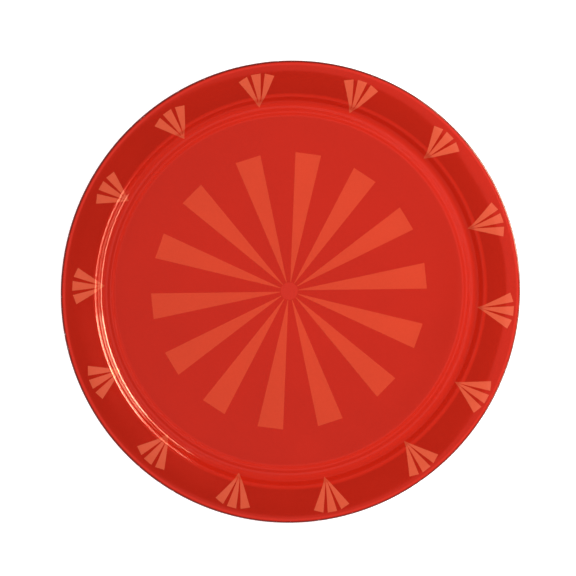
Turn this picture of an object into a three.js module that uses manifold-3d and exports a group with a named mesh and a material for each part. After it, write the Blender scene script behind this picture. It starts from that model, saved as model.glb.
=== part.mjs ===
// A round promotional serving tray, pressed from one sheet of tinplate: a flat floor, a fine
// raised bead, a steep wall, a wide rim that flares out, and a hem curled over a stiffening wire.
// The decoration is printed: a hub and fourteen rays on the floor, and fourteen fans on the rim.
// Millimetres, +Z up. The origin is the centre of the underside, on the table.

import * as THREE from 'three';
import { mergeVertices } from 'three/addons/utils/BufferGeometryUtils.js';
import Module from 'manifold-3d';

const degrees = THREE.MathUtils.degToRad;

// Driving dimensions of the pressing
const TRAY_DIAMETER = 330;
const TRAY_HEIGHT = 14;
const SHEET_THICKNESS = 0.4;
const WALL_FOOT_RADIUS = 131.6;
const WALL_SLOPE = degrees(64);
const WALL_FOOT_BEND = 6;
const WALL_TOP_BEND = 4;
const RIM_INNER_SLOPE = degrees(22);
const RIM_OUTER_SLOPE = degrees(2);

// The raised bead that rings the floor just inside the wall
const BEAD_SLOPE = degrees(18);
const BEAD_BEND = 4.6;
const BEAD_TO_WALL = 0.7;

// The hem, curled out, down and back under in quarter turns, and the wire inside it
const CURL_DIAMETER = 3.6;
const CURL_QUARTERS = 3;
const WIRE_DIAMETER = 2.2;
const WIRE_SIDES = 8;

// The printed decoration, as thin layers just above the sheet
const PRINT_GAP = 0.1;
const PRINT_THICKNESS = 0.15;
const HUB_RADIUS = 6.2;

// Rays: a half turn holds seven at one pitch, then a slightly wider space
const RAY_COUNT = 14;
const RAYS_PER_HALF = RAY_COUNT / 2;
const RAY_PITCH = degrees(25.4);
const FIRST_RAY_AZIMUTH = degrees(-44.8);
const RAY_POINT_RADIUS = 4.9;
const RAY_END_RADIUS = 98.8;
const RAY_OPENING = degrees(11.3);
const RAY_TO_HUB = 0.3;

// Fans: three blades spread from one point. Their ring was printed a little off the tray's
// middle, and their spacing around it wanders.
const FAN_RING_CENTRE = { x: 1.8, y: -1 };
const FAN_AZIMUTHS = [
  19.5, 45, 72, 100, 125, 150.5, 177.5, 203.5, 228.5, 253.5, 280, 307, 331, 355,
];
const FAN_POINT_RADIUS = 134.2;
const FAN_LENGTH = 24.4;
const FAN_BLADES = 3;
const BLADE_OPENING = degrees(16.2);
const BLADE_PITCH = degrees(23.5);
const BLADE_CROTCH = 2.2;

// How finely round shapes are cut into flats
const TURN_SEGMENTS = 60;
const BEAD_STEPS = 2;
const WALL_FOOT_STEPS = 4;
const WALL_TOP_STEPS = 2;
const RIM_STEPS = 4;
const CURL_QUARTER_STEPS = 3;

const enamel = { color: 0xc62d22, roughness: 0.22, metalness: 0 };
const rayInk = { color: 0xdd4630, roughness: 0.22, metalness: 0 };
const fanInk = { color: 0xde5c44, roughness: 0.22, metalness: 0 };
const hubInk = { color: 0xd63228, roughness: 0.22, metalness: 0 };
const steel = { color: 0x9a9a98, roughness: 0.4, metalness: 1 };

// The middle of the sheet, walked outward in the plane of radius and height. Every point keeps
// the heading of the sheet there, so that a face can be set off square to it.
class SheetPath {
  constructor(radius, height) {
    this.points = [{ radius, height, heading: 0 }];
  }

  get end() {
    return this.points[this.points.length - 1];
  }

  straight(length) {
    const { radius, height, heading } = this.end;
    this.points.push({
      radius: radius + length * Math.cos(heading),
      height: height + length * Math.sin(heading),
      heading,
    });
  }

  bend(bendRadius, newHeading, steps) {
    const { radius, height, heading } = this.end;
    const side = Math.sign(newHeading - heading);
    const centreRadius = radius - side * bendRadius * Math.sin(heading);
    const centreHeight = height + side * bendRadius * Math.cos(heading);
    for (let step = 1; step <= steps; step += 1) {
      const turned = heading + ((newHeading - heading) * step) / steps;
      this.points.push({
        radius: centreRadius + side * bendRadius * Math.sin(turned),
        height: centreHeight - side * bendRadius * Math.cos(turned),
        heading: turned,
      });
    }
  }
}

// Points set off from the path, upward where it heads outward
function setOff(points, distance) {
  return points.map(({ radius, height, heading }) => new THREE.Vector2(
    radius - distance * Math.sin(heading),
    height + distance * Math.cos(heading),
  ));
}

// Where the hem starts to curl: its outside just reaches the tray's edge and its top
const CURL_BEND = (CURL_DIAMETER - SHEET_THICKNESS) / 2;
const curlStart = {
  radius: TRAY_DIAMETER / 2 - SHEET_THICKNESS / 2 - CURL_BEND * (1 + Math.sin(RIM_OUTER_SLOPE)),
  height: TRAY_HEIGHT - SHEET_THICKNESS / 2 - CURL_BEND * (1 - Math.cos(RIM_OUTER_SLOPE)),
};

// The wall's straight length and the rim's bend are the two that bring the path to that start
function wallAndRim() {
  const sinWall = Math.sin(WALL_SLOPE);
  const cosWall = Math.cos(WALL_SLOPE);
  const bentRadius = WALL_FOOT_RADIUS + WALL_FOOT_BEND * sinWall
    + WALL_TOP_BEND * (sinWall - Math.sin(RIM_INNER_SLOPE));
  const bentHeight = SHEET_THICKNESS / 2 + WALL_FOOT_BEND * (1 - cosWall)
    + WALL_TOP_BEND * (Math.cos(RIM_INNER_SLOPE) - cosWall);
  const across = Math.sin(RIM_INNER_SLOPE) - Math.sin(RIM_OUTER_SLOPE);
  const up = Math.cos(RIM_OUTER_SLOPE) - Math.cos(RIM_INNER_SLOPE);
  const radiusLeft = curlStart.radius - bentRadius;
  const heightLeft = curlStart.height - bentHeight;
  const wallLength = (radiusLeft * up - heightLeft * across) / (cosWall * up - sinWall * across);
  return { wallLength, rimBend: (radiusLeft - wallLength * cosWall) / across };
}

const { wallLength, rimBend } = wallAndRim();
const beadWidth = 4 * BEAD_BEND * Math.sin(BEAD_SLOPE);

const sheet = new SheetPath(0, SHEET_THICKNESS / 2);
sheet.straight(WALL_FOOT_RADIUS - BEAD_TO_WALL - beadWidth);
sheet.bend(BEAD_BEND, BEAD_SLOPE, BEAD_STEPS);
sheet.bend(BEAD_BEND, -BEAD_SLOPE, 2 * BEAD_STEPS);
sheet.bend(BEAD_BEND, 0, BEAD_STEPS);
sheet.straight(BEAD_TO_WALL);
const wallFootIndex = sheet.points.length - 1;
sheet.bend(WALL_FOOT_BEND, WALL_SLOPE, WALL_FOOT_STEPS);
sheet.straight(wallLength);
sheet.bend(WALL_TOP_BEND, RIM_INNER_SLOPE, WALL_TOP_STEPS);
sheet.bend(rimBend, RIM_OUTER_SLOPE, RIM_STEPS);
const rimEndIndex = sheet.points.length - 1;
sheet.bend(CURL_BEND, 0, 1);
for (let quarter = 1; quarter <= CURL_QUARTERS; quarter += 1) {
  sheet.bend(CURL_BEND, degrees(-90 * quarter), CURL_QUARTER_STEPS);
}

// Turns a profile of radius and height about the tray's upright axis
function turned(profile) {
  const geometry = new THREE.LatheGeometry(profile, TURN_SEGMENTS);
  geometry.rotateX(Math.PI / 2);
  return geometry;
}

function closedProfile(points) {
  return [...points, points[0]];
}

function panGeometry() {
  const underside = setOff(sheet.points, -SHEET_THICKNESS / 2);
  const topside = setOff(sheet.points, SHEET_THICKNESS / 2);
  return turned([...underside, ...topside.reverse()]);
}

function rimWireGeometry() {
  const centre = new THREE.Vector2(
    curlStart.radius + CURL_BEND * Math.sin(RIM_OUTER_SLOPE),
    curlStart.height - CURL_BEND * Math.cos(RIM_OUTER_SLOPE),
  );
  const section = Array.from({ length: WIRE_SIDES }, (_, side) => {
    const angle = (side / WIRE_SIDES) * 2 * Math.PI;
    const spoke = new THREE.Vector2(Math.cos(angle), Math.sin(angle));
    return spoke.multiplyScalar(WIRE_DIAMETER / 2).add(centre);
  });
  return turned(closedProfile(section));
}

// A flat print on the tray's floor
function floorPrint(outline) {
  const options = { depth: PRINT_THICKNESS, bevelEnabled: false };
  const geometry = new THREE.ExtrudeGeometry(outline, options);
  geometry.translate(0, 0, SHEET_THICKNESS + PRINT_GAP);
  return geometry;
}

function hubOutline() {
  const corners = Array.from({ length: TURN_SEGMENTS }, (_, corner) => {
    const angle = (corner / TURN_SEGMENTS) * 2 * Math.PI;
    return new THREE.Vector2(HUB_RADIUS * Math.cos(angle), HUB_RADIUS * Math.sin(angle));
  });
  return new THREE.Shape(corners);
}

// One ray along +X: it would come to a point just inside the hub, so it starts clear of the hub
function rayOutline() {
  const start = HUB_RADIUS + RAY_TO_HUB;
  const halfWidth = (radius) => (radius - RAY_POINT_RADIUS) * Math.tan(RAY_OPENING / 2);
  return new THREE.Shape([
    new THREE.Vector2(start, -halfWidth(start)),
    new THREE.Vector2(RAY_END_RADIUS, -halfWidth(RAY_END_RADIUS)),
    new THREE.Vector2(RAY_END_RADIUS, halfWidth(RAY_END_RADIUS)),
    new THREE.Vector2(start, halfWidth(start)),
  ]);
}

function rayAzimuth(index) {
  const half = Math.floor(index / RAYS_PER_HALF);
  return FIRST_RAY_AZIMUTH + half * Math.PI + (index % RAYS_PER_HALF) * RAY_PITCH;
}

// One fan along +X from its point: square-ended blades, joined for a short way at the point
function fanOutline() {
  const bladeSide = FAN_LENGTH / Math.cos(BLADE_OPENING / 2);
  const polar = (distance, angle) => new THREE.Vector2(
    FAN_POINT_RADIUS + distance * Math.cos(angle),
    distance * Math.sin(angle),
  );
  const corners = [polar(0, 0)];
  for (let blade = 0; blade < FAN_BLADES; blade += 1) {
    const middle = (blade - (FAN_BLADES - 1) / 2) * BLADE_PITCH;
    if (blade > 0) corners.push(polar(BLADE_CROTCH, middle - BLADE_PITCH / 2));
    corners.push(polar(bladeSide, middle - BLADE_OPENING / 2));
    corners.push(polar(bladeSide, middle + BLADE_OPENING / 2));
  }
  return new THREE.Shape(corners);
}

const manifold = await Module();
manifold.setup();

function toSolid(geometry) {
  const bare = geometry.clone();
  bare.deleteAttribute('normal');
  bare.deleteAttribute('uv');
  const merged = mergeVertices(bare);
  return new manifold.Manifold(new manifold.Mesh({
    numProp: 3,
    vertProperties: new Float32Array(merged.attributes.position.array),
    triVerts: new Uint32Array(merged.index.array),
  }));
}

function toGeometry(solid) {
  const mesh = solid.getMesh();
  const geometry = new THREE.BufferGeometry();
  geometry.setAttribute('position', new THREE.BufferAttribute(mesh.vertProperties, 3));
  geometry.setIndex(new THREE.BufferAttribute(mesh.triVerts, 1));
  geometry.computeVertexNormals();
  return geometry;
}

// The layer that the fans are cut from: it follows the sheet up the wall and over the rim
function rimPrintLayer() {
  const band = sheet.points.slice(wallFootIndex, rimEndIndex + 1);
  const low = setOff(band, SHEET_THICKNESS / 2 + PRINT_GAP);
  const high = setOff(band, SHEET_THICKNESS / 2 + PRINT_GAP + PRINT_THICKNESS);
  return toSolid(turned(closedProfile([...low, ...high.reverse()])));
}

function fanGeometry(printLayer, azimuth) {
  const options = { depth: 2 * TRAY_HEIGHT, bevelEnabled: false };
  const cutter = new THREE.ExtrudeGeometry(fanOutline(), options);
  cutter.rotateZ(azimuth);
  cutter.translate(FAN_RING_CENTRE.x, FAN_RING_CENTRE.y, 0);
  return toGeometry(printLayer.intersect(toSolid(cutter)));
}

function addPiece(group, name, geometry, finish) {
  const mesh = new THREE.Mesh(geometry, new THREE.MeshStandardMaterial(finish));
  mesh.name = name;
  group.add(mesh);
  return mesh;
}

const numbered = (name, index) => `${name}_${String(index + 1).padStart(2, '0')}`;

const tray = new THREE.Group();
addPiece(tray, 'tray_pan', panGeometry(), enamel);
addPiece(tray, 'rim_wire', rimWireGeometry(), steel);

const floorDecoration = new THREE.Group();
addPiece(floorDecoration, 'hub_print', floorPrint(hubOutline()), hubInk);
for (let index = 0; index < RAY_COUNT; index += 1) {
  const name = numbered('ray_print', index);
  const ray = addPiece(floorDecoration, name, floorPrint(rayOutline()), rayInk);
  ray.rotation.z = rayAzimuth(index);
}
tray.add(floorDecoration);

const rimDecoration = new THREE.Group();
const printLayer = rimPrintLayer();
FAN_AZIMUTHS.forEach((azimuth, index) => {
  const geometry = fanGeometry(printLayer, degrees(azimuth));
  addPiece(rimDecoration, numbered('fan_print', index), geometry, fanInk);
});
tray.add(rimDecoration);

export default tray;
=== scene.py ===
"""A round promotional serving tray in glossy red enamelled tinplate, lying on a pale studio floor.

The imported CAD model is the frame. Every piece here is a finer version of one CAD node: the pan,
the wire in its hem, and the printed hub, rays and fans, which follow the sheet as ink does.
Metres, +Z up, the origin under the middle of the tray.
"""

import math
from bisect import bisect_right

import bmesh
import bpy
from mathutils import Matrix, Vector, noise


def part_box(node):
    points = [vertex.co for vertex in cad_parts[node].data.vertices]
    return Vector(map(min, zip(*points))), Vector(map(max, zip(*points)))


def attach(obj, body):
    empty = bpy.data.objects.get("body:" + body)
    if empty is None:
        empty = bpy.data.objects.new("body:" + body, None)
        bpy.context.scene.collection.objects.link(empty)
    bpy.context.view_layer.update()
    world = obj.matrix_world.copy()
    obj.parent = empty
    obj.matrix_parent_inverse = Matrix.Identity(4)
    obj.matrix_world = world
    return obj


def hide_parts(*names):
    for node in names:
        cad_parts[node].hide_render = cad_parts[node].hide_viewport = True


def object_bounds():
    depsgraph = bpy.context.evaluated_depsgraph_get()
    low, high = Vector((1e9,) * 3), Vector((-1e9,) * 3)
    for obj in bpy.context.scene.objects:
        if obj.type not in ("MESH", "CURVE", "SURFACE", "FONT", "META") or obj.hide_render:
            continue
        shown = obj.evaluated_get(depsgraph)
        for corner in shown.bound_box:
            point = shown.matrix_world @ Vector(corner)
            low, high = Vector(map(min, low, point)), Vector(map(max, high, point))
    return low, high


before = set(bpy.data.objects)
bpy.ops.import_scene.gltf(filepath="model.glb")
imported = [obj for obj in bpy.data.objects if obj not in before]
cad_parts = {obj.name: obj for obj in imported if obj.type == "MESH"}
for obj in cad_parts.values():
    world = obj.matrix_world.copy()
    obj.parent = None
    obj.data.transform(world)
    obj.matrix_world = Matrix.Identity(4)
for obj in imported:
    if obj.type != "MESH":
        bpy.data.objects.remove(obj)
cad_low, cad_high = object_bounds()

MM = 0.001

# The pressing, as the CAD has it
TRAY_RADIUS = cad_high.x
TRAY_HEIGHT = cad_high.z
SHEET = 0.4 * MM
WALL_FOOT_RADIUS = 131.6 * MM
WALL_SLOPE = math.radians(64)
WALL_FOOT_BEND = 6 * MM
WALL_TOP_BEND = 4 * MM
RIM_INNER_SLOPE = math.radians(22)
RIM_OUTER_SLOPE = math.radians(2)
BEAD_SLOPE = math.radians(18)
BEAD_BEND = 4.6 * MM
BEAD_TO_WALL = 0.7 * MM
CURL_DIAMETER = 3.6 * MM
CURL_QUARTERS = 3
WIRE_DIAMETER = 2.2 * MM

# The printed decoration, as the CAD has it. The rays are centred on the tray's axis, and the
# ring of fans a little off it.
TRAY_AXIS = Vector((0.0, 0.0))
HUB_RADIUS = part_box("hub_print")[1].x
RAY_COUNT = 14
RAY_POINT_RADIUS = 4.9 * MM
RAY_END_RADIUS = 98.8 * MM
RAY_OPENING = math.radians(11.3)
RAY_TO_HUB = 0.3 * MM
FAN_COUNT = 14
FAN_RING_CENTRE = Vector((1.8 * MM, -1.0 * MM))
FAN_POINT_RADIUS = 134.2 * MM
FAN_LENGTH = 24.4 * MM
FAN_BLADES = 3
BLADE_OPENING = math.radians(16.2)
BLADE_PITCH = math.radians(23.5)
BLADE_CROTCH = 2.2 * MM

# Ink lies this far off the sheet: its underside and its top
INK_LOW = 0.01 * MM
INK_HIGH = 0.045 * MM

# How finely the shapes are cut
TURN_SEGMENTS = 480
WIRE_SIDES = 16
HUB_SIDES = 96
ARC_STEP = math.radians(2)
RIM_ARC_STEP = math.radians(0.5)
CURL_ARC_STEP = math.radians(9)
FLOOR_STEP = 4 * MM
FLOOR_PRINT_STEP = 5 * MM
FAN_CROSS_STEP = 1.8 * MM
WALL_PRINT_STEP = 0.35 * MM
RIM_PRINT_STEP = 1.5 * MM

# The sheet is never quite flat: soft rises, up to this height and about this far across
WAVE_HEIGHT = 0.10 * MM
WAVE_SPAN = 75 * MM
WAVE_FADE = 18 * MM


# ---------------------------------------------------------------- the sheet's shape

class SheetPath:
    """The middle of the sheet, walked outward in the plane of radius and height."""

    def __init__(self, radius, height):
        self.points = [(radius, height, 0.0)]

    def straight(self, length, step=None):
        radius, height, heading = self.points[-1]
        count = max(1, round(length / step)) if step else 1
        for index in range(1, count + 1):
            gone = length * index / count
            along = radius + gone * math.cos(heading)
            self.points.append((along, height + gone * math.sin(heading), heading))

    def bend(self, bend_radius, new_heading, step=ARC_STEP):
        radius, height, heading = self.points[-1]
        side = math.copysign(bend_radius, new_heading - heading)
        centre_radius = radius - side * math.sin(heading)
        centre_height = height + side * math.cos(heading)
        count = max(1, math.ceil(abs(new_heading - heading) / step))
        for index in range(1, count + 1):
            turned = heading + (new_heading - heading) * index / count
            along = centre_radius + side * math.sin(turned)
            self.points.append((along, centre_height - side * math.cos(turned), turned))


def set_off(points, distance):
    """Points off the path, upward where it heads outward."""
    return [
        (radius - distance * math.sin(heading), height + distance * math.cos(heading), heading)
        for radius, height, heading in points
    ]


CURL_BEND = (CURL_DIAMETER - SHEET) / 2
CURL_START_RADIUS = TRAY_RADIUS - SHEET / 2 - CURL_BEND * (1 + math.sin(RIM_OUTER_SLOPE))
CURL_START_HEIGHT = TRAY_HEIGHT - SHEET / 2 - CURL_BEND * (1 - math.cos(RIM_OUTER_SLOPE))


def wall_and_rim():
    """The wall's straight length and the rim's bend, which bring the path to the curl's start."""
    sin_wall, cos_wall = math.sin(WALL_SLOPE), math.cos(WALL_SLOPE)
    sin_rim, cos_rim = math.sin(RIM_INNER_SLOPE), math.cos(RIM_INNER_SLOPE)
    bent_radius = WALL_FOOT_BEND * sin_wall + WALL_TOP_BEND * (sin_wall - sin_rim)
    bent_height = WALL_FOOT_BEND * (1 - cos_wall) + WALL_TOP_BEND * (cos_rim - cos_wall)
    radius_left = CURL_START_RADIUS - WALL_FOOT_RADIUS - bent_radius
    height_left = CURL_START_HEIGHT - SHEET / 2 - bent_height
    across = sin_rim - math.sin(RIM_OUTER_SLOPE)
    up = math.cos(RIM_OUTER_SLOPE) - cos_rim
    wall = (radius_left * up - height_left * across) / (cos_wall * up - sin_wall * across)
    return wall, (radius_left - wall * cos_wall) / across


WALL_LENGTH, RIM_BEND = wall_and_rim()
BEAD_WIDTH = 4 * BEAD_BEND * math.sin(BEAD_SLOPE)
FLAT_RADIUS = WALL_FOOT_RADIUS - BEAD_TO_WALL - BEAD_WIDTH

sheet = SheetPath(0.0, SHEET / 2)
sheet.straight(FLAT_RADIUS, FLOOR_STEP)
sheet.bend(BEAD_BEND, BEAD_SLOPE)
sheet.bend(BEAD_BEND, -BEAD_SLOPE)
sheet.bend(BEAD_BEND, 0.0)
sheet.straight(BEAD_TO_WALL)
sheet.bend(WALL_FOOT_BEND, WALL_SLOPE)
sheet.straight(WALL_LENGTH, WALL_LENGTH / 4)
sheet.bend(WALL_TOP_BEND, RIM_INNER_SLOPE)
RIM_START_RADIUS = sheet.points[-1][0]
sheet.bend(RIM_BEND, RIM_OUTER_SLOPE, RIM_ARC_STEP)
rim_end = len(sheet.points)
sheet.bend(CURL_BEND, 0.0)
for quarter in range(1, CURL_QUARTERS + 1):
    sheet.bend(CURL_BEND, -quarter * math.pi / 2, CURL_ARC_STEP)

top_face = set_off(sheet.points, SHEET / 2)
bottom_face = set_off(sheet.points, -SHEET / 2)
plain_top = top_face[:rim_end]
plain_radii = [radius for radius, _, _ in plain_top]


def smooth_fade(distance, fade):
    t = min(max(distance / fade, 0.0), 1.0)
    return t * t * (3 - 2 * t)


def waviness(x, y):
    """The soft rises in the floor, which die away before the bead."""
    radius = math.hypot(x, y)
    rise = 0.5 + 0.5 * noise.noise(Vector((x / WAVE_SPAN, y / WAVE_SPAN, 0.0)))
    return WAVE_HEIGHT * rise * smooth_fade(FLAT_RADIUS - radius, WAVE_FADE)


def on_sheet(x, y, distance):
    """The point over plan position x, y that is this far off the sheet's top face."""
    radius = math.hypot(x, y)
    after = min(max(bisect_right(plain_radii, radius), 1), len(plain_radii) - 1)
    (r0, h0, a0), (r1, h1, a1) = plain_top[after - 1], plain_top[after]
    t = (radius - r0) / (r1 - r0)
    heading = a0 + (a1 - a0) * t
    height = h0 + (h1 - h0) * t + waviness(x, y)
    lean = distance * math.sin(heading) / radius if radius else 0.0
    return Vector((x * (1 - lean), y * (1 - lean), height + distance * math.cos(heading)))


# ---------------------------------------------------------------- meshes

def new_piece(name, mesh, material, node):
    piece = bpy.data.objects.new(name, mesh)
    bpy.context.scene.collection.objects.link(piece)
    mesh.materials.append(material)
    mesh.shade_smooth()
    mesh.set_sharp_from_angle(angle=math.radians(40))
    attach(piece, "root")
    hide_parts(node)
    return piece


def turned_mesh(name, profile, closed):
    """A mesh of revolution. An open profile starts and ends on the axis."""
    ring = TURN_SEGMENTS
    angles = [2 * math.pi * k / ring for k in range(ring)]
    spokes = [(math.cos(angle), math.sin(angle)) for angle in angles]
    vertices, rows = [], []
    for radius, height, _ in profile:
        if radius < 1e-9:
            rows.append([len(vertices)] * ring)
            vertices.append((0.0, 0.0, height + waviness(0.0, 0.0)))
            continue
        rows.append(list(range(len(vertices), len(vertices) + ring)))
        for cos, sin in spokes:
            x, y = radius * cos, radius * sin
            vertices.append((x, y, height + waviness(x, y)))
    pairs = list(zip(rows, rows[1:]))
    if closed:
        pairs.append((rows[-1], rows[0]))
    faces = []
    for row, following in pairs:
        for k in range(ring):
            near = (k + 1) % ring
            corners = [row[k], row[near], following[near], following[k]]
            faces.append(list(dict.fromkeys(corners)))
    mesh = bpy.data.meshes.new(name)
    mesh.from_pydata(vertices, [], faces)
    mesh.validate()
    return mesh


def steps_between(low, high, step):
    count = max(1, math.ceil((high - low) / step))
    return [low + (high - low) * index / count for index in range(1, count)]


def print_mesh(name, outline, azimuth, cuts_out, cuts_across, centre=TRAY_AXIS):
    """A film of ink over an anticlockwise outline, cut up finely enough to follow the sheet.

    The outline lies along +X, is cut at these distances out and across, and is then turned
    to its azimuth round the centre.
    """
    flat = bmesh.new()
    flat.faces.new([flat.verts.new((x, y, 0.0)) for x, y in outline])
    for normal, cuts in (((1, 0, 0), cuts_out), ((0, 1, 0), cuts_across)):
        for cut in cuts:
            everything = flat.verts[:] + flat.edges[:] + flat.faces[:]
            place = Vector(normal) * cut
            bmesh.ops.bisect_plane(flat, geom=everything, plane_co=place, plane_no=normal)
    bmesh.ops.triangulate(flat, faces=flat.faces[:])
    flat.verts.index_update()
    cos, sin = math.cos(azimuth), math.sin(azimuth)
    plan = [
        (centre.x + v.co.x * cos - v.co.y * sin, centre.y + v.co.x * sin + v.co.y * cos)
        for v in flat.verts
    ]
    count = len(plan)
    top = [[v.index for v in face.verts] for face in flat.faces]
    bottom = [[index + count for index in face[::-1]] for face in top]
    edges = {(a, b) for face in top for a, b in zip(face, face[1:] + face[:1])}
    sides = [[b, a, a + count, b + count] for a, b in edges if (b, a) not in edges]
    flat.free()
    vertices = [on_sheet(x, y, INK_HIGH) for x, y in plan]
    vertices += [on_sheet(x, y, INK_LOW) for x, y in plan]
    mesh = bpy.data.meshes.new(name)
    mesh.from_pydata(vertices, [], top + bottom + sides)
    mesh.validate()
    return mesh


def hub_outline():
    angles = [2 * math.pi * side / HUB_SIDES for side in range(HUB_SIDES)]
    return [(HUB_RADIUS * math.cos(a), HUB_RADIUS * math.sin(a)) for a in angles]


def ray_outline():
    start = HUB_RADIUS + RAY_TO_HUB
    spread = math.tan(RAY_OPENING / 2)
    near, far = (start - RAY_POINT_RADIUS) * spread, (RAY_END_RADIUS - RAY_POINT_RADIUS) * spread
    return [(start, -near), (RAY_END_RADIUS, -far), (RAY_END_RADIUS, far), (start, near)]


def fan_outline():
    side = FAN_LENGTH / math.cos(BLADE_OPENING / 2)

    def polar(distance, angle):
        return FAN_POINT_RADIUS + distance * math.cos(angle), distance * math.sin(angle)

    corners = [polar(0.0, 0.0)]
    for blade in range(FAN_BLADES):
        middle = (blade - (FAN_BLADES - 1) / 2) * BLADE_PITCH
        if blade:
            corners.append(polar(BLADE_CROTCH, middle - BLADE_PITCH / 2))
        corners.append(polar(side, middle - BLADE_OPENING / 2))
        corners.append(polar(side, middle + BLADE_OPENING / 2))
    return corners


def node_azimuth(node, centre=TRAY_AXIS):
    """Which way from the centre a printed node lies, from where its narrow end is."""
    corners = [v.co.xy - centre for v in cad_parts[node].data.vertices]
    nearest = min(corner.length for corner in corners)
    ends = [corner for corner in corners if corner.length < nearest + 0.05 * MM]
    middle = sum(ends, Vector((0.0, 0.0))) / len(ends)
    return math.atan2(middle.y, middle.x)


# ---------------------------------------------------------------- materials

class Finish:
    """A node material around one Principled shader."""

    def __init__(self, name):
        self.material = bpy.data.materials.new(name)
        self.material.use_nodes = True
        self.tree = self.material.node_tree
        self.shader = self.tree.nodes["Principled BSDF"]
        self.place = self.tree.nodes.new("ShaderNodeTexCoord").outputs["Object"]

    def connect(self, value, socket):
        if isinstance(value, bpy.types.NodeSocket):
            self.tree.links.new(value, socket)
        else:
            socket.default_value = value

    def math(self, operation, first, second=0.0, clamp=False):
        node = self.tree.nodes.new("ShaderNodeMath")
        node.operation, node.use_clamp = operation, clamp
        self.connect(first, node.inputs[0])
        self.connect(second, node.inputs[1])
        return node.outputs[0]

    def noise(self, size, detail=2.0, place=None):
        """Noise whose blotches are about this size in metres."""
        node = self.tree.nodes.new("ShaderNodeTexNoise")
        self.connect(place or self.place, node.inputs["Vector"])
        node.inputs["Scale"].default_value = 1 / size
        node.inputs["Detail"].default_value = detail
        return node.outputs["Fac"]

    def stretched(self, turn, stretch):
        node = self.tree.nodes.new("ShaderNodeMapping")
        self.connect(self.place, node.inputs["Vector"])
        node.inputs["Rotation"].default_value = (0, 0, turn)
        node.inputs["Scale"].default_value = (1 / stretch, 1, 1)
        return node.outputs["Vector"]

    def remap(self, value, low, high, new_low=0.0, new_high=1.0):
        node = self.tree.nodes.new("ShaderNodeMapRange")
        for socket, number in zip(node.inputs[1:5], (low, high, new_low, new_high)):
            socket.default_value = number
        self.connect(value, node.inputs[0])
        return node.outputs[0]

    def mix(self, factor, first, second):
        node = self.tree.nodes.new("ShaderNodeMix")
        node.data_type = "RGBA"
        self.connect(factor, node.inputs["Factor"])
        self.connect(first, node.inputs["A"])
        self.connect(second, node.inputs["B"])
        return node.outputs["Result"]

    def bump(self, height, strength, distance, normal=None):
        node = self.tree.nodes.new("ShaderNodeBump")
        node.inputs["Strength"].default_value = strength
        node.inputs["Distance"].default_value = distance
        self.connect(height, node.inputs["Height"])
        if normal:
            self.connect(normal, node.inputs["Normal"])
        return node.outputs["Normal"]

    def radius(self):
        """How far the shaded point is from the tray's axis."""
        apart = self.tree.nodes.new("ShaderNodeSeparateXYZ")
        self.connect(self.place, apart.inputs[0])
        across = self.math("POWER", apart.outputs["X"], 2.0)
        along = self.math("POWER", apart.outputs["Y"], 2.0)
        return self.math("SQRT", self.math("ADD", across, along))

    def set(self, **values):
        for name, value in values.items():
            self.connect(value, self.shader.inputs[name.replace("_", " ")])


def shade(colour, factor):
    return (*(channel * factor for channel in colour), 1.0)


def gloss_ink(name, colour, lets_through):
    """Red lacquer or ink under a clear varnish, with the slight mottle of a rolled-on coat.

    lets_through is the part of it that shows the bright tin behind, tinted, instead of the ink.
    """
    finish = Finish(name)
    mottle = finish.remap(finish.noise(1.6 * MM, detail=3.0), 0.3, 0.7, 0.0, 0.45)
    cloud = finish.remap(finish.noise(60 * MM), 0.3, 0.7, 0.0, 0.55)
    tone = finish.math("ADD", mottle, cloud)
    coloured = finish.mix(tone, shade(colour, 0.95), shade(colour, 1.05))
    hairlines = finish.math(
        "MAXIMUM",
        finish.remap(finish.noise(0.35 * MM, 1.0, finish.stretched(0.5, 90)), 0.70, 0.76),
        finish.remap(finish.noise(0.4 * MM, 1.0, finish.stretched(2.1, 120)), 0.71, 0.77),
    )
    smudges = finish.remap(finish.noise(22 * MM, detail=4.0), 0.35, 0.75, 0.09, 0.15)
    roughness = finish.math("ADD", smudges, finish.math("MULTIPLY", hairlines, 0.05), clamp=True)
    peel = finish.bump(finish.noise(1.1 * MM, detail=1.0), 0.12, 0.02 * MM)
    finish.set(
        Base_Color=coloured,
        Roughness=roughness,
        Normal=finish.bump(hairlines, 0.05, -0.01 * MM, peel),
        Metallic=lets_through,
        Specular_IOR_Level=0.3,
        Coat_Weight=0.25,
        Coat_Roughness=0.05,
    )
    return finish


RED_ENAMEL = (0.60, 0.018, 0.006)
HUB_INK = (0.57, 0.022, 0.010)
RAY_INK = (0.58, 0.044, 0.014)
FAN_INK = (0.555, 0.075, 0.033)
TIN = (0.55, 0.53, 0.50)

# How much of the tin each lets through
ENAMEL_LETS_THROUGH = 0.54
CLOUDY_LETS_THROUGH = 0.05
HUB_LETS_THROUGH = 0.4
RAY_LETS_THROUGH = 0.3
FAN_LETS_THROUGH = 0.15

# How much darker the enamel is painted, as painted shade, where it is cloudy, and as a painted
# dark line round the tray's edge
CLOUDY_PAINTED_SHADE = 0.76
EDGE_PAINTED_SHADE = 0.15

# The ring that is bent: the bead and the wall
BENT_MIDDLE_RADIUS = (FLAT_RADIUS + RIM_START_RADIUS) / 2
BENT_HALF_WIDTH = (RIM_START_RADIUS - FLAT_RADIUS) / 2


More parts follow.
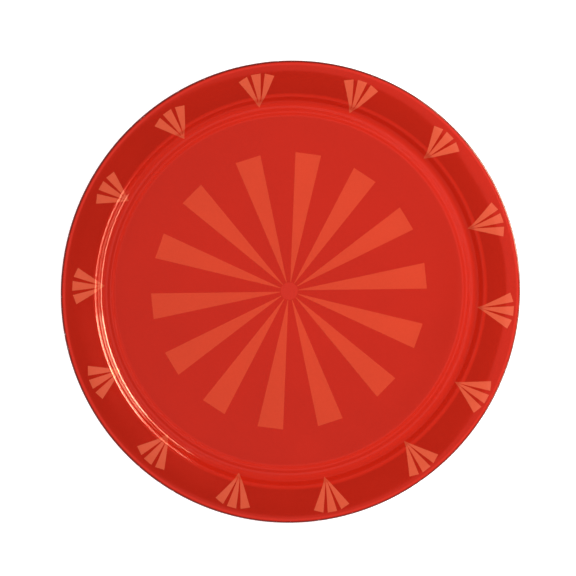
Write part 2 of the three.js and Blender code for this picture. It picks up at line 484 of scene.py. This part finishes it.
def pan_finish():
    """The enamelled sheet. Where it is bent, in the bead, wall and hem, its lacquer is cloudier,
    and painted shade darkens it there.

    A painted dark line of shade runs round the tray's very edge, and it is rubbed through in
    specks along the hem.
    """
    finish = gloss_ink("red_enamel", RED_ENAMEL, ENAMEL_LETS_THROUGH)
    radius = finish.radius()
    from_middle = finish.math("ABSOLUTE", finish.math("SUBTRACT", radius, BENT_MIDDLE_RADIUS))
    off_wall = finish.remap(from_middle, BENT_HALF_WIDTH - MM, BENT_HALF_WIDTH + MM)
    off_hem = finish.remap(radius, TRAY_RADIUS - 3.5 * MM, TRAY_RADIUS - 2.5 * MM, 1.0, 0.0)
    clear_and_unshaded = finish.math("MULTIPLY", off_wall, off_hem)
    enamel = finish.shader.inputs["Base Color"].links[0].from_socket
    # Painted shade: the bent ring and the hem are painted darker than the clear enamel.
    shaded_enamel = finish.mix(clear_and_unshaded, shade(RED_ENAMEL, CLOUDY_PAINTED_SHADE), enamel)
    # Painted shade: a dark line painted round the tray's very edge.
    edge_shade_mask = finish.remap(radius, TRAY_RADIUS - 1.6 * MM, TRAY_RADIUS - 0.7 * MM)
    shaded_enamel = finish.mix(edge_shade_mask, shaded_enamel, shade(RED_ENAMEL, EDGE_PAINTED_SHADE))
    on_hem = finish.remap(radius, TRAY_RADIUS - 1.2 * MM, TRAY_RADIUS - 0.1 * MM)
    specks = finish.remap(finish.noise(2.5 * MM, detail=4.0), 0.66, 0.70)
    worn = finish.math("MULTIPLY", on_hem, specks, clamp=True)
    lets_through = finish.remap(clear_and_unshaded, 0.0, 1.0, CLOUDY_LETS_THROUGH, ENAMEL_LETS_THROUGH)
    finish.set(
        Base_Color=finish.mix(worn, shaded_enamel, shade(TIN, 1.0)),
        Metallic=finish.math("MAXIMUM", lets_through, worn),
    )
    return finish.material


def steel_finish():
    finish = Finish("wire_steel")
    streaks = finish.noise(0.5 * MM, detail=3.0, place=finish.stretched(0.0, 20))
    finish.set(
        Base_Color=finish.mix(streaks, shade(TIN, 0.8), shade(TIN, 1.1)),
        Metallic=1.0,
        Roughness=finish.remap(streaks, 0.3, 0.7, 0.3, 0.5),
        Normal=finish.bump(streaks, 0.2, 0.02 * MM),
    )
    return finish.material


# ---------------------------------------------------------------- the tray

def make_pan():
    mesh = turned_mesh("pressed_pan", bottom_face + top_face[::-1], closed=False)
    new_piece("pressed_pan", mesh, pan_finish(), "tray_pan")


def make_wire():
    centre_radius = CURL_START_RADIUS + CURL_BEND * math.sin(RIM_OUTER_SLOPE)
    centre_height = CURL_START_HEIGHT - CURL_BEND * math.cos(RIM_OUTER_SLOPE)
    section = []
    for side in range(WIRE_SIDES):
        angle = 2 * math.pi * side / WIRE_SIDES
        along = centre_radius + WIRE_DIAMETER / 2 * math.cos(angle)
        section.append((along, centre_height + WIRE_DIAMETER / 2 * math.sin(angle), 0.0))
    mesh = turned_mesh("hem_wire", section, closed=True)
    new_piece("hem_wire", mesh, steel_finish(), "rim_wire")


def make_hub(material):
    steps = steps_between(-HUB_RADIUS, HUB_RADIUS, FLOOR_PRINT_STEP)
    mesh = print_mesh("hub_ink_disc", hub_outline(), 0.0, steps, steps)
    new_piece("hub_ink_disc", mesh, material, "hub_print")


def make_rays(material):
    outline = ray_outline()
    half_width = outline[2][1]
    out = steps_between(HUB_RADIUS + RAY_TO_HUB, RAY_END_RADIUS, FLOOR_PRINT_STEP)
    across = steps_between(-half_width, half_width, FLOOR_PRINT_STEP)
    for number in range(1, RAY_COUNT + 1):
        node, name = f"ray_print_{number:02d}", f"ray_ink_{number:02d}"
        mesh = print_mesh(name, outline, node_azimuth(node), out, across)
        new_piece(name, mesh, material, node)


def make_fans(material):
    outline = fan_outline()
    half_width = max(y for _, y in outline)
    fan_end = max(x for x, _ in outline)
    past_wall = RIM_START_RADIUS + FAN_RING_CENTRE.length
    out = steps_between(FAN_POINT_RADIUS, past_wall, WALL_PRINT_STEP)
    out += [past_wall] + steps_between(past_wall, fan_end, RIM_PRINT_STEP)
    across = steps_between(-half_width, half_width, FAN_CROSS_STEP)
    for number in range(1, FAN_COUNT + 1):
        node, name = f"fan_print_{number:02d}", f"fan_ink_{number:02d}"
        azimuth = node_azimuth(node, FAN_RING_CENTRE)
        mesh = print_mesh(name, outline, azimuth, out, across, FAN_RING_CENTRE)
        new_piece(name, mesh, material, node)


make_pan()
make_wire()
make_hub(gloss_ink("hub_ink", HUB_INK, HUB_LETS_THROUGH).material)
make_rays(gloss_ink("ray_ink", RAY_INK, RAY_LETS_THROUGH).material)
make_fans(gloss_ink("fan_ink", FAN_INK, FAN_LETS_THROUGH).material)


# ---------------------------------------------------------------- studio

FLOOR_SIDE = 60.0
FLOOR_GLOW = 0.55

# The room's brightness at the horizon, and from this elevation up
HORIZON_LIGHT = 0.8
ROOM_LIGHT = 0.12
ROOM_ELEVATION = math.radians(9)

CAMERA_LEAN = 8.4
CAMERA_LEAN_AZIMUTH = 152
CAMERA_DISTANCE = 5.0
VIEW_WIDTH = 0.4097
AIM_POINT = Vector((-2.7 * MM, 3.1 * MM, TRAY_HEIGHT))

WHITE = (1.0, 1.0, 1.0)
WARM = (1.0, 0.82, 0.54)


def make_floor():
    half = FLOOR_SIDE / 2
    corners = [(-half, -half, 0), (half, -half, 0), (half, half, 0), (-half, half, 0)]
    mesh = bpy.data.meshes.new("studio_floor")
    mesh.from_pydata(corners, [], [(0, 1, 2, 3)])
    floor = bpy.data.objects.new("studio_floor", mesh)
    bpy.context.scene.collection.objects.link(floor)
    finish = Finish("studio_floor")
    grain = finish.noise(0.4, detail=2.0)
    finish.set(
        Base_Color=finish.mix(grain, (0.88, 0.88, 0.88, 1), (0.92, 0.92, 0.92, 1)),
        Roughness=0.8,
        Emission_Color=(1, 1, 1, 1),
        Emission_Strength=FLOOR_GLOW,
    )
    mesh.materials.append(finish.material)


def direction(azimuth, elevation):
    """A unit vector: azimuth from +X towards +Y, elevation above the floor, in degrees."""
    a, e = math.radians(azimuth), math.radians(elevation)
    return Vector((math.cos(a) * math.cos(e), math.sin(a) * math.cos(e), math.sin(e)))


def add_softbox(name, place, size, radiance, seen_by, colour=WHITE, level=False):
    """A rectangular light that faces the tray, or straight down if it is level.

    radiance is how bright it looks, 1 being white. seen_by says whether it lights only the
    "diffuse" colour of what is there or is only mirrored in its "gloss".
    """
    light = bpy.data.lights.new(name, "AREA")
    light.shape = "RECTANGLE"
    light.size, light.size_y = size
    light.energy = radiance * math.pi * light.size * light.size_y
    light.color = colour
    lamp = bpy.data.objects.new(name, light)
    lamp.location = place
    if not level:
        lamp.rotation_euler = place.to_track_quat("Z", "Y").to_euler()
    lamp.visible_camera = False
    lamp.visible_diffuse = seen_by == "diffuse"
    lamp.visible_glossy = seen_by == "gloss"
    bpy.context.scene.collection.objects.link(lamp)


def make_world():
    """A dim room, bright at the horizon all round and below it."""
    world = bpy.data.worlds.new("studio")
    bpy.context.scene.world = world
    world.use_nodes = True
    tree = world.node_tree
    place = tree.nodes.new("ShaderNodeTexCoord").outputs["Generated"]
    apart = tree.nodes.new("ShaderNodeSeparateXYZ")
    tree.links.new(place, apart.inputs[0])
    ramp = tree.nodes.new("ShaderNodeMapRange")
    limits = (0.0, math.sin(ROOM_ELEVATION), HORIZON_LIGHT, ROOM_LIGHT)
    for socket, number in zip(ramp.inputs[1:5], limits):
        socket.default_value = number
    tree.links.new(apart.outputs["Z"], ramp.inputs[0])
    background = tree.nodes["Background"]
    background.inputs["Color"].default_value = (1, 1, 1, 1)
    tree.links.new(ramp.outputs[0], background.inputs["Strength"])


def make_camera():
    """Almost straight above, leaning a little towards the upper left, from far off."""
    toward = direction(CAMERA_LEAN_AZIMUTH, 90 - CAMERA_LEAN)
    data = bpy.data.cameras.new("camera")
    camera = bpy.data.objects.new("camera", data)
    bpy.context.scene.collection.objects.link(camera)
    across = Vector((0, 1, 0)).cross(toward).normalized()
    up = toward.cross(across)
    camera.matrix_world = Matrix.LocRotScale(
        AIM_POINT + toward * CAMERA_DISTANCE,
        Matrix((across, up, toward)).transposed().to_quaternion(),
        None,
    )
    data.lens = data.sensor_width * CAMERA_DISTANCE / VIEW_WIDTH
    data.clip_end = 10 * CAMERA_DISTANCE
    bpy.context.scene.camera = camera


make_floor()
make_world()

# The first three light the colours, and the rest are only mirrored. The strip and the box make
# the crescent on the left of the wall, thin above and broader below.
add_softbox("ceiling_fill", Vector((0, 0, 1.1)), (6.0, 6.0), 0.74, "diffuse", level=True)
add_softbox("key", Vector((0.36, 0.14, 0.6)), (0.4, 0.4), 9.2, "diffuse")
add_softbox("left_fill", Vector((-0.9, -0.1, 0.25)), (1.0, 0.5), 3.0, "diffuse")
add_softbox("overhead_sheen", Vector((0.12, -0.66, 6.0)), (1.9, 1.7), 0.35, "gloss", level=True)
add_softbox("overhead_core", Vector((0.22, -0.56, 6.0)), (1.5, 1.3), 0.34, "gloss", level=True)
add_softbox("right_strip", 1.2 * direction(9, 17), (1.9, 0.12), 30.0, "gloss", WARM)
add_softbox("right_box", 1.2 * direction(16, 18), (0.62, 0.42), 22.0, "gloss", WARM)

make_camera()
bpy.context.scene.view_settings.view_transform = "Standard"
